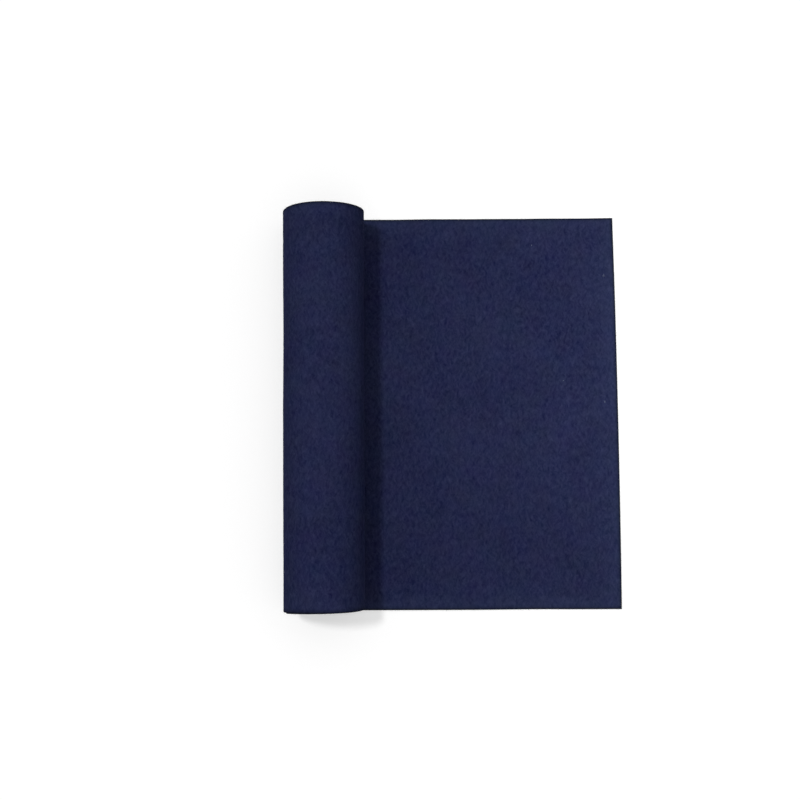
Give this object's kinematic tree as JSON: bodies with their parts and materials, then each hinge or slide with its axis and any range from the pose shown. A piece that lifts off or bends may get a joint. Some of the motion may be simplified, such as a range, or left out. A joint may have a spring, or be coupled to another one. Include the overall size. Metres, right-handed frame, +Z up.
{
  "type": "calligraphy felt mat",
  "caption": "Long navy felt underlay for brush writing, wound into an open roll with one end drawn out flat as the writing leaf.",
  "frame": {"origin": "middle of the mat's footprint, on the surface that it lies on", "axes": "+X along the sheet from the roll to the free edge, +Y across the sheet's width along the roll's axis, +Z up out of the writing face"},
  "size_m": [0.3362, 0.4, 0.0816],
  "materials": {
    "felt": "matte"
  },
  "bodies": {
    "leaf": {"writing_leaf": "felt"},
    "roll": {"felt_roll": "felt"}
  },
  "joints": [
    {"name": "roll_up", "type": "slide", "parent": "leaf", "child": "roll", "axis": [1, 0, 0], "range_m": [0, 0.265], "deforming": ["writing_leaf"]}
  ]
}
